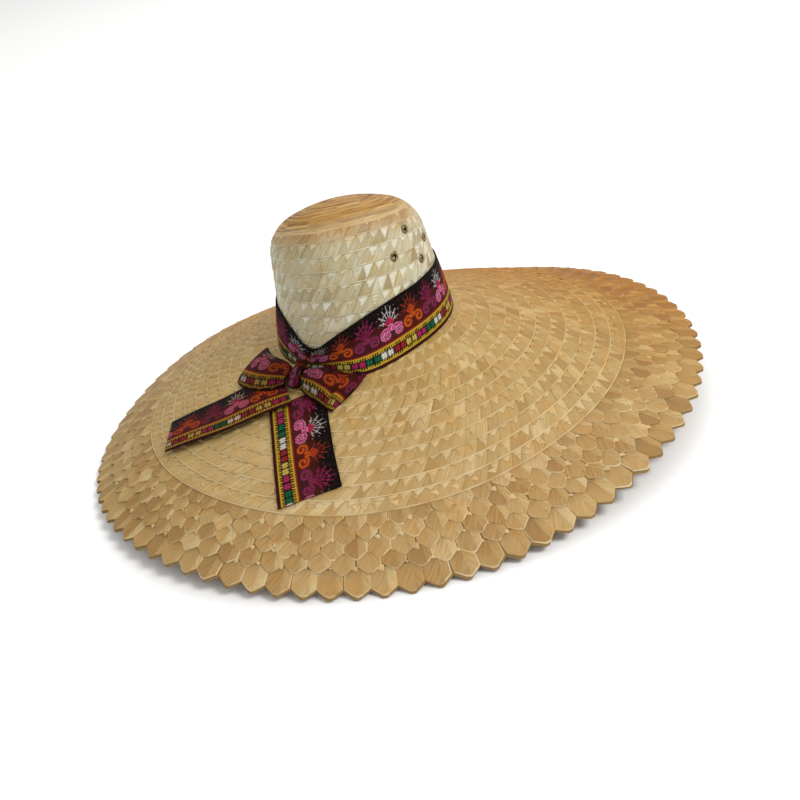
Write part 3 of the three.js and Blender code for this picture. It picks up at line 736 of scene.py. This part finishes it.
def embroidery(u, v, blocks_on):
    """The ribbon's colour u millimetres along it and v millimetres across it from the edge with the blocks,
    where the blocks run on ahead of the motifs by a length."""
    u, v = np.broadcast_arrays(np.asarray(u, float), np.asarray(v, float))
    colour = np.empty(u.shape + (3,))
    to_black = np.clip((v - 38) / 9, 0, 1)[..., None]
    colour[:] = MAROON * (1 - to_black) + BLACK * to_black
    motif = np.floor(u / MOTIF_PITCH).astype(int) % len(MOTIFS)
    x = np.mod(u, MOTIF_PITCH) - MOTIF_PITCH / 2
    side = np.abs(x)
    to_scroll = to_line(side, v, SCROLL)
    rays = []
    for angle, reach in zip(RAY_ANGLES, RAY_REACH):
        a = math.radians(90 - angle)
        root, fork, end = [(r * math.cos(a), SQUARE_HEIGHT + r * math.sin(a))
                           for r in (4.2, 0.6 * reach, reach)]
        rays.append(to_line(x, v, [root, end]))
        for turn in (-0.9, 0.9):
            barb = (fork[0] + 1.9 * math.cos(a + turn), fork[1] + 1.9 * math.sin(a + turn))
            rays.append(to_line(x, v, [fork, barb]))
    to_ray = np.minimum.reduce(rays)
    diamond = side + np.abs(v - SQUARE_HEIGHT)
    cross = np.abs(side - np.abs(v - SQUARE_HEIGHT))
    dots = np.minimum.reduce([np.hypot(side - a, v - b) for a, b in DOTS])
    ground = np.hypot(side - SCROLL_GROUND[0], (v - SCROLL_GROUND[1]) * 1.05) < 8.2
    for index, (ray, square, scroll, outline, ground_thread) in enumerate(MOTIFS):
        here = motif == index
        colour[here & ground] = ground_thread
        colour[here & (to_ray < 0.42)] = ray
        colour[here & (dots < 0.5)] = 0.6 * ray
        colour[here & (diamond < 5.6)] = 0.5 * square
        colour[here & (diamond < 5.4) & (diamond > 4.2)] = square
        colour[here & (cross < 0.6) & (diamond < 3.4)] = square
        colour[here & (to_scroll < 1.55)] = outline
        colour[here & (to_scroll < 1.0)] = 0.4 * scroll
        colour[here & (to_scroll < 0.6)] = scroll
    block = np.floor((u + blocks_on) / BLOCK_PITCH).astype(int) % len(BLOCKS)
    step = np.mod(u + blocks_on, BLOCK_PITCH / 2)
    in_block = np.abs(v - BLOCK_MIDDLE) < BLOCK_HALF
    post = ((np.abs(step - 2.3) < 0.6) | (np.abs(step - 4.7) < 0.6)) & in_block
    rung = (np.abs(np.abs(v - BLOCK_MIDDLE) - 1.2) < 0.6) & (step > 0.8) & (step < 6.2)
    bar = (v > BAR_EDGES[0]) & (v < BAR_EDGES[1])
    colour[bar] = BLACK
    for index, dye in enumerate(BLOCKS):
        here = bar & (block == index)
        colour[here & in_block] = 0.15 * dye
        colour[here & (post | rung)] = dye
    tick = np.mod(u, TOOTH_PITCH) < 1.3
    for low, high, tick_low, tick_high in TOOTHED_LINES:
        line = (v >= low) & (v < high)
        colour[line] = TOOTHED_LINE
        colour[line & tick & (v >= tick_low) & (v < tick_high)] = BLACK
    colour[v < SELVEDGE_WIDTH] = SELVEDGE
    colour[(v >= RED_LINE_EDGES[0]) & (v < RED_LINE_EDGES[1])] = RED_LINE
    return colour


def ribbon_material():
    """Tightly woven thread: fine ribs across the ribbon and a dull surface."""
    material, tree, shader = new_material("embroidered_ribbon")
    way = make_node(tree, "ShaderNodeUVMap", {"uv_map": "weave"})
    along, across, _ = way.parts()
    ribs = (along * 9.0).sine() * 0.5 + (across * 7.0).sine() * 0.5
    wear = make_node(tree, "ShaderNodeTexNoise", Vector=way, Scale=0.35, Detail=3.0)
    dye = attribute(tree, "dye", output=0)
    colour = mix_colour(tree, ((wear - 0.45) * 0.5).clamp(), dye, (0.08, 0.045, 0.035))
    colour = mix_colour(tree, (ribs * 0.5 + 0.5).clamp() * 0.18, colour, (0.0, 0.0, 0.0))
    feed(tree, shader.inputs["Base Color"], colour)
    shader.inputs["Roughness"].default_value = 0.72
    shader.inputs["Specular IOR Level"].default_value = 0.05
    bump = make_node(tree, "ShaderNodeBump", Height=ribs, Distance=0.00012, Strength=0.6)
    feed(tree, shader.inputs["Normal"], bump)
    return material


ribbon_cloth = ribbon_material()
BACK_STEP = 4
GATHER_SHADE_REACH = 34.0


def ribbon_piece(name, place, length, starts, columns, rows, closed=False, width=RIBBON_WIDTH, offset=0.0,
                 painted_shade=1.0, gathered=0.0):
    """A ribbon with a fine face that carries the pattern and a coarser back, joined all round.

    place takes shares along and across, each 0 to 1, and gives the face's points. starts are where the
    motifs and the blocks begin, in millimetres, and length is how far the pattern runs. fade paints shade
    over it, by one share or by one for each of red, green and blue, and gathered paints shade in the folds
    at its ends."""
    columns, rows = BACK_STEP * round(columns / BACK_STEP), BACK_STEP * round(rows / BACK_STEP)
    along = np.linspace(0, 1, columns + 1)
    across = np.linspace(0, 1, rows + 1)
    share_u, share_v = np.meshgrid(along, across, indexing="ij")
    face = place(share_u, share_v)
    run_u, run_v = np.gradient(face, axis=0), np.gradient(face, axis=1)
    if closed:
        run_u[0] = run_u[-1] = face[1] - face[-2]
    normal = np.cross(run_u, run_v)
    normal /= np.maximum(np.linalg.norm(normal, axis=2, keepdims=True), 1e-9)
    back = (face - RIBBON_THICKNESS * normal)[::BACK_STEP, ::BACK_STEP]
    used = columns if closed else columns + 1
    back_used = columns // BACK_STEP if closed else columns // BACK_STEP + 1
    front_id = np.arange(used * (rows + 1)).reshape(used, rows + 1)
    back_id = front_id.size + np.arange(back_used * (rows // BACK_STEP + 1)).reshape(back_used, -1)
    if closed:
        front_id, back_id = np.vstack([front_id, front_id[:1]]), np.vstack([back_id, back_id[:1]])

    def quads(ids):
        return np.stack([ids[:-1, :-1], ids[1:, :-1], ids[1:, 1:], ids[:-1, 1:]], -1).reshape(-1, 4)
    faces = quads(front_id).tolist() + quads(back_id)[:, ::-1].tolist()
    edges = [(front_id[:, 0][::-1], back_id[:, 0][::-1]), (front_id[:, -1], back_id[:, -1])]
    if not closed:
        edges += [(front_id[0], back_id[0]), (front_id[-1][::-1], back_id[-1][::-1])]
    for fine, coarse in edges:
        for i in range(len(coarse) - 1):
            strip = fine[BACK_STEP * i:BACK_STEP * (i + 1) + 1]
            faces.append([*strip.tolist(), int(coarse[i + 1]), int(coarse[i])])
    pattern_u = starts[0] + share_u * length
    pattern_v = offset + share_v * width
    points = np.concatenate([face[:used].reshape(-1, 3), back[:back_used].reshape(-1, 3)]) * MM
    from_end = np.minimum(share_u, 1 - share_u) * length
    # Painted shade in the gathered folds, darkest at the ends and fading over about 34 mm.
    folds = 1 - gathered * np.exp(-((from_end / GATHER_SHADE_REACH) ** 2))
    dye = np.array(painted_shade) * folds[..., None] * embroidery(pattern_u, pattern_v, starts[1] - starts[0])
    back_dye = 0.7 * dye[::BACK_STEP, ::BACK_STEP]
    colours = np.concatenate([dye[:used].reshape(-1, 3), back_dye[:back_used].reshape(-1, 3)])
    weave = np.stack([pattern_u, pattern_v], -1)
    back_weave = weave[::BACK_STEP, ::BACK_STEP][:back_used]
    weave = np.concatenate([weave[:used].reshape(-1, 2), back_weave.reshape(-1, 2)])
    mesh = bpy.data.meshes.new(name)
    mesh.from_pydata(points.tolist(), [], faces)
    colours = np.concatenate([colours, np.ones((len(colours), 1))], 1).astype(np.float32)
    mesh.attributes.new("dye", "FLOAT_COLOR", "POINT").data.foreach_set("color", colours.ravel())
    dress(mesh, "weave", weave, ribbon_cloth)
    piece = in_scene(name, mesh)
    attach(piece, "root")
    return piece


def brim_top_under(x, y, lift):
    """A point over the brim at a place in plan, at a lift straight up from the wall's upper side."""
    low, high = np.zeros(x.shape), np.ones(x.shape)
    for _ in range(24):
        share = (low + high) / 2
        dx = (x - CROWN_X * (1 - share)) / (CROWN_SEMI_X + share * BRIM_REACH)
        dy = (y - CROWN_Y * (1 - share)) / (CROWN_SEMI_Y + share * (RIM_TIP_RADIUS - CROWN_SEMI_Y))
        beyond = np.hypot(dx, dy) > 1
        low, high = np.where(beyond, share, low), np.where(beyond, high, share)
    height = brim_surface(np.degrees(np.arctan2(dy, dx)), low, 0.0)[..., 2]
    return np.stack([x, y, height + lift], -1)


def through(table, share):
    """A smooth line through a table's rows, at shares of the way along it."""
    table = np.asarray(table, float)
    place = np.clip(share, 0, 1) * (len(table) - 1)
    i = np.minimum(place.astype(int), len(table) - 2)
    t = (place - i)[..., None]
    before, a = table[np.maximum(i - 1, 0)], table[i]
    b, after = table[i + 1], table[np.minimum(i + 2, len(table) - 1)]
    return 0.5 * (2 * a + (b - before) * t + (2 * before - 5 * a + 4 * b - after) * t**2
                  + (3 * a - before - 3 * b + after) * t**3)


# Band. It goes round the crown's foot with the blocks at its lower edge, which stands out on the brim.
# Its upper edge dips to the bow, where the ribbon is gathered. Each row: azimuth, how far the foot stands
# out, upper edge.
BAND_PATH = ((0, 0.4, 52), (30, 0.6, 58), (60, 1, 66), (90, 1, 70), (120, 1, 67), (150, 1.5, 56),
             (172, 3, 42), (190, 5, 38.5), (200, 7, 34), (208, 8, 28), (216, 9, 20), (222, 9.5, 12.5),
             (227, 10, 7), (235, 10.5, 13), (245, 12, 21.5), (255, 15.5, 28), (263, 17, 32.5),
             (270, 13, 36.5), (280, 9, 40.8), (295, 3.5, 45.3), (315, 0.6, 48.8), (335, 0.4, 51.5))
BAND_LENGTH = 594.0
BAND_STARTS = (5.5, 12.5)
BAND_OFF_STRAW = 2.3
BOW_AZIMUTH = 229.0


def around_band(azimuth, column):
    """The band's stand or upper edge at an azimuth, smoothed over a few degrees."""
    path = np.array(BAND_PATH)
    turns = [np.interp(azimuth + turn, path[:, 0], path[:, column], period=360)
             for turn in (-7, -3.5, 0, 3.5, 7)]
    return sum(turns) / len(turns)


def band_place(along, across):
    azimuth = BOW_AZIMUTH + 360 * along
    stand, top = around_band(azimuth, 1), around_band(azimuth, 2)
    c, s = np.cos(np.radians(azimuth)), np.sin(np.radians(azimuth))
    foot = (CROWN_SEMI_X + stand + BAND_OFF_STRAW) / CROWN_SEMI_X
    low = brim_top_under(CROWN_X + CROWN_SEMI_X * foot * c, CROWN_Y + CROWN_SEMI_Y * foot * s, 2.0)
    high = crown_surface(azimuth, top * WALL_LENGTH / CROWN_WALL_HEIGHT, BAND_OFF_STRAW)
    belly = np.sin(np.pi * across) * (0.5 + 0.06 * stand)
    near_bow = np.exp(-((np.mod(azimuth - BOW_AZIMUTH + 180, 360) - 180) / 16) ** 2)
    pleats = near_bow * 0.9 * np.sin(across * 20) + 0.25 * np.sin(azimuth * 0.21) * across
    place = low + (high - low) * across[..., None]
    place[..., 0] += (belly + pleats) * c
    place[..., 1] += (belly + pleats) * s
    return place


# The band is painted darker where it is gathered near the bow, as shade.
band = ribbon_piece("ribbon_band", band_place, BAND_LENGTH, BAND_STARTS, 792, 80, closed=True,
                    gathered=0.6)
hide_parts("hatband")

# Tails. The ribbon's two ends lie on the brim and are cut straight across. They begin beside the knot.
# Each row is a place across the ribbon, from the edge with the blocks to the plain edge: x and y, then
# x and y, then both lifts.
TAIL_LEFT = ((-232, -83, -226.5, -27, 7.5, 3.0), (-197, -96, -193, -37, 8.0, 3.2),
             (-166, -106, -164, -47, 9.0, 3.2), (-131, -111, -136, -53, 8.5, 3.2),
             (-97, -114, -103, -64, 7.5, 3.6))
TAIL_FRONT = ((-120, -104, -64, -107, 3, 3), (-122, -142, -65, -142, 3, 3), (-124, -180, -66, -180, 3, 3),
              (-125.5, -218, -65, -216.5, 3, 3))


def tail_place(table, wave):
    """Where a tail lies, with a slight wave that lifts it off the straw in places."""
    def place(along, across):
        row = through(table, along)
        x = row[..., 0] + (row[..., 2] - row[..., 0]) * across
        y = row[..., 1] + (row[..., 3] - row[..., 1]) * across
        lift = row[..., 4] + (row[..., 5] - row[..., 4]) * across
        lift = lift + wave * (np.sin(along * 9 + across * 2) + 1) * 0.5
        return brim_top_under(x, y, lift)
    return place


# Both tails' colours are painted darker as shade, for each of red, green and blue; the left one much more.
left_tail = ribbon_piece("ribbon_tail_left", tail_place(TAIL_LEFT, 0.8), 124.0, (20.0, 20.0), 188, 80,
                         painted_shade=(0.68, 0.50, 0.42))
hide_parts("tail_left")
front_tail = ribbon_piece("ribbon_tail_front", tail_place(TAIL_FRONT, 0.6), 112.0, (53.0, 45.0), 164, 80,
                          painted_shade=(0.92, 0.85, 0.8))
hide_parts("tail_front")

# Bow. Each loop is ribbon folded back on itself, puffed up over the brim, with its blocks on the outer side.
# Each row: inner and outer azimuth, inner and outer radius about the crown, and lowest and highest lift.
LOOP_LEFT = ((224.5, 224.5, 112, 130, 6, 14), (217, 218, 107, 138, 4.5, 17),
             (207, 210, 106, 143, 3.5, 17), (196, 203, 106, 145, 3.2, 14),
             (188, 197, 106, 146, 3.0, 10), (185, 194, 106, 145, 3.5, 6))
LOOP_RIGHT = ((233.5, 233.5, 112, 130, 6, 15), (242, 240, 109, 139, 4.2, 19),
              (250, 245, 111, 145, 3.5, 17), (257, 247.5, 112, 148, 3.2, 16),
              (262, 249.5, 113, 150, 3.2, 11), (264, 250.5, 114, 150, 3.8, 6.5))


def over_brim(azimuth, radius, lift):
    """A point at an azimuth and radius about the crown's axis, lifted straight up from the brim."""
    x = CROWN_X + radius * np.cos(np.radians(azimuth))
    y = CROWN_Y + radius * np.sin(np.radians(azimuth))
    return brim_top_under(x, y, lift)


def loop_place(table, mirrored):
    """The loop's ribbon: along goes out over the top to the fold and back underneath, and across goes
    from the outer edge, up over the puffed top, to the inner edge. A mirrored loop runs the other way."""
    def place(along, across):
        out = 1 - np.abs(2 * along - 1)
        is_under = along > 0.5 if not mirrored else along < 0.5
        row = through(table, out ** 0.9)
        arch = np.pi * across
        sweep = (1 + np.cos(arch)) / 2
        rise = np.sin(arch) ** 0.75
        near_knot = np.exp(-out * 4.5)
        folds = near_knot * np.sin(across * 24) * 1.3 + 0.5 * np.sin(across * 11 + out * 5) * (1 - near_knot)
        azimuth = row[..., 0] + (row[..., 1] - row[..., 0]) * sweep
        radius = row[..., 2] + (row[..., 3] - row[..., 2]) * sweep
        thick = row[..., 5] - row[..., 4]
        waist = 1 - 0.45 * np.exp(-((out - 0.52) / 0.1) ** 2) if not mirrored else 1
        puff = thick * rise * waist
        puff = np.where(is_under, 0.62 * puff * (1 - out**3), puff)
        return over_brim(azimuth, radius, row[..., 4] + puff + folds * 0.7)
    return place


# The loops' colours are painted darker as shade, most toward the knot where they are gathered.
left_loop = ribbon_piece("bow_loop_left_ribbon", loop_place(LOOP_LEFT, True), 150.0, (60.0, 60.0),
                         200, 80, painted_shade=(0.66, 0.50, 0.42), gathered=0.45)
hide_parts("bow_loop_left")
right_loop = ribbon_piece("bow_loop_right_ribbon", loop_place(LOOP_RIGHT, False), 110.0, (12.0, 12.0),
                          172, 80, painted_shade=(0.80, 0.68, 0.62), gathered=0.45)
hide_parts("bow_loop_right")

# Knot. A short wrap of the same ribbon goes over the loops' joined ends and holds them. It is pleated
# together, and only its outer turn is made.
KNOT_RADIUS = 119.5
KNOT_ACROSS = 11.5
KNOT_ALONG = 6.5
KNOT_LOW, KNOT_HIGH = 2.6, 16.5


def knot_place(along, across):
    """Along goes once round the wrap, and across from one side of it to the other."""
    turn = 2 * np.pi * along
    side = 2 * across - 1
    pleat = 1 + 0.07 * np.cos(side * 9.5) + 0.03 * np.sin(turn * 2 + side * 4)
    belly = np.sqrt(1 - 0.45 * side**2) * pleat
    radial = KNOT_RADIUS + KNOT_ACROSS * np.cos(turn) * belly
    lift = (KNOT_LOW + KNOT_HIGH) / 2 + (KNOT_HIGH - KNOT_LOW) / 2 * np.sin(turn) * belly
    azimuth = BOW_AZIMUTH + np.degrees(side * KNOT_ALONG * (1 - 0.15 * np.sin(turn)) / KNOT_RADIUS)
    return over_brim(azimuth, radial, np.maximum(lift, 1.8))


# The knot's colours are painted much darker, as the shade between the loops.
knot = ribbon_piece("bow_knot_ribbon", knot_place, 66.0, (8.0, 8.0), 104, 40, closed=True, width=20.0,
                    offset=22.0, painted_shade=(0.34, 0.28, 0.28))
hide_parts("bow_knot")

# Eyelets. Rolled brass rings with a dull brown patina are clinched through the straw, in a set of four on
# each side of the crown.
EYELET_MIDDLE = 3.3
EYELET_BEAD = 1.15
EYELET_STANDS_OUT = 0.9


def eyelet_rings():
    """The rings are set out by a node tree, one at each eyelet's place and facing out of the straw."""
    points = bpy.data.meshes.new("eyelet_places")
    points.from_pydata([tuple((middle + EYELET_STANDS_OUT * facing) * MM) for middle, facing in EYELETS],
                       [], [])
    facings = np.array([facing for _, facing in EYELETS], dtype=np.float32)
    points.attributes.new("facing", "FLOAT_VECTOR", "POINT").data.foreach_set("vector", facings.ravel())
    rings = in_scene("eyelet_rings", points)
    tree = bpy.data.node_groups.new("rolled_rings", "GeometryNodeTree")
    tree.interface.new_socket("Geometry", in_out="INPUT", socket_type="NodeSocketGeometry")
    for label in ("Ring radius", "Bead radius"):
        tree.interface.new_socket(label, in_out="INPUT", socket_type="NodeSocketFloat")
    tree.interface.new_socket("Geometry", in_out="OUTPUT", socket_type="NodeSocketGeometry")
    kinds = ("NodeGroupInput", "GeometryNodeCurvePrimitiveCircle", "GeometryNodeCurvePrimitiveCircle",
             "GeometryNodeCurveToMesh", "GeometryNodeInputNamedAttribute",
             "FunctionNodeAlignRotationToVector", "GeometryNodeInstanceOnPoints",
             "GeometryNodeRealizeInstances", "GeometryNodeSetMaterial", "NodeGroupOutput")
    (given, ring, bead, sweep, facing, turn, instance, realize, finish, result) = [
        tree.nodes.new(kind) for kind in kinds]
    facing.data_type = "FLOAT_VECTOR"
    facing.inputs["Name"].default_value = "facing"
    turn.axis = "Z"
    ring.inputs["Resolution"].default_value = 28
    bead.inputs["Resolution"].default_value = 12
    finish.inputs["Material"].default_value = eyelet_brass
    for source, output, target, socket in (
        (given, "Ring radius", ring, "Radius"),
        (given, "Bead radius", bead, "Radius"),
        (ring, "Curve", sweep, "Curve"),
        (bead, "Curve", sweep, "Profile Curve"),
        (facing, "Attribute", turn, "Vector"),
        (given, "Geometry", instance, "Points"),
        (sweep, "Mesh", instance, "Instance"),
        (turn, "Rotation", instance, "Rotation"),
        (instance, "Instances", realize, "Geometry"),
        (realize, "Geometry", finish, "Geometry"),
        (finish, "Geometry", result, "Geometry"),
    ):
        tree.links.new(source.outputs[output], target.inputs[socket])
    modifier = rings.modifiers.new("rings", "NODES")
    modifier.node_group = tree
    sizes = {"Ring radius": EYELET_MIDDLE * MM, "Bead radius": EYELET_BEAD * MM}
    for socket in tree.interface.items_tree:
        if socket.in_out == "INPUT" and socket.name in sizes:
            modifier[socket.identifier] = sizes[socket.name]
    made = bpy.data.meshes.new_from_object(rings.evaluated_get(bpy.context.evaluated_depsgraph_get()))
    rings.modifiers.clear()
    rings.data = made
    made.polygons.foreach_set("use_smooth", np.ones(len(made.polygons), dtype=bool))
    return rings


eyelet_brass, brass_tree, brass_shader = new_material("aged_brass")
brass_place = make_node(brass_tree, "ShaderNodeTexCoord", output=3)
tarnish = make_node(brass_tree, "ShaderNodeTexNoise", Vector=brass_place, Scale=700.0, Detail=2.0)
brass_colour = mix_colour(brass_tree, tarnish.steps(0.35, 0.7), (0.30, 0.22, 0.10), (0.10, 0.075, 0.045))
feed(brass_tree, brass_shader.inputs["Base Color"], brass_colour)
brass_shader.inputs["Metallic"].default_value = 0.85
feed(brass_tree, brass_shader.inputs["Roughness"], tarnish * 0.3 + 0.25)
rings = eyelet_rings()
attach(rings, "root")
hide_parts(*(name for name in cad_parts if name.startswith("eyelet_")))

# Floor, light and camera. The hat lies on a plain pale floor under broad soft lamps. The camera looks down
# on it from the side with the bow, a little turned, from about four brim radii away.
floor_mesh = bpy.data.meshes.new("floor")
FLOOR_HALF = 6.0
floor_mesh.from_pydata([(-FLOOR_HALF, -FLOOR_HALF, 0), (FLOOR_HALF, -FLOOR_HALF, 0),
                        (FLOOR_HALF, FLOOR_HALF, 0), (-FLOOR_HALF, FLOOR_HALF, 0)], [], [(0, 1, 2, 3)])
floor = in_scene("floor", floor_mesh)
floor_finish, floor_tree, floor_shader = new_material("pale_floor")
floor_shader.inputs["Base Color"].default_value = (0.9, 0.9, 0.9, 1)
floor_shader.inputs["Roughness"].default_value = 0.9
floor_mesh.materials.append(floor_finish)

world = bpy.data.worlds.new("studio")
world.use_nodes = True
world.node_tree.nodes["Background"].inputs["Color"].default_value = (1.0, 0.99, 0.97, 1)
world.node_tree.nodes["Background"].inputs["Strength"].default_value = 0.78
bpy.context.scene.world = world
bpy.context.scene.view_settings.view_transform = "Standard"


def softbox(name, place, aim, size, power):
    light = bpy.data.lights.new(name, "AREA")
    light.shape = "DISK"
    light.size = size
    light.energy = power
    lamp = in_scene(name, light)
    direction = Vector(aim) - Vector(place)
    lamp.matrix_world = Matrix.Translation(place) @ direction.to_track_quat("-Z", "Y").to_matrix().to_4x4()


softbox("key", (2.0, -1.7, 2.9), (0, 0, 0.08), 1.6, 85)
softbox("back", (0.6, 2.6, 2.6), (0, 0, 0.08), 2.4, 30)

CAMERA_ELEVATION = math.radians(28.75)
CAMERA_YAW = math.radians(1.10)
CAMERA_ROLL = math.radians(12.41)
CAMERA_DISTANCE = 1.28
FOCAL_PIXELS = 1202.7
PICTURE_SIDE = 800
AIM_PIXEL = (392.6, 397.2)
aim = Vector((0, 0, -LOWEST_WAVE * MM))
forward = Vector((math.sin(CAMERA_YAW) * math.cos(CAMERA_ELEVATION),
                  math.cos(CAMERA_YAW) * math.cos(CAMERA_ELEVATION), -math.sin(CAMERA_ELEVATION)))
level = Vector((math.cos(CAMERA_YAW), -math.sin(CAMERA_YAW), 0))
upright = level.cross(forward)
right = math.cos(CAMERA_ROLL) * level - math.sin(CAMERA_ROLL) * upright
above = math.sin(CAMERA_ROLL) * level + math.cos(CAMERA_ROLL) * upright
camera_data = bpy.data.cameras.new("camera")
camera_data.sensor_width = 36
camera_data.lens = FOCAL_PIXELS / PICTURE_SIDE * camera_data.sensor_width
camera_data.shift_x = (PICTURE_SIDE / 2 - AIM_PIXEL[0]) / PICTURE_SIDE
camera_data.shift_y = (AIM_PIXEL[1] - PICTURE_SIDE / 2) / PICTURE_SIDE
camera = in_scene("camera", camera_data)
camera.matrix_world = Matrix.Translation(aim - forward * CAMERA_DISTANCE) @ Matrix(
    (right, above, -forward)).transposed().to_4x4()
bpy.context.scene.camera = camera
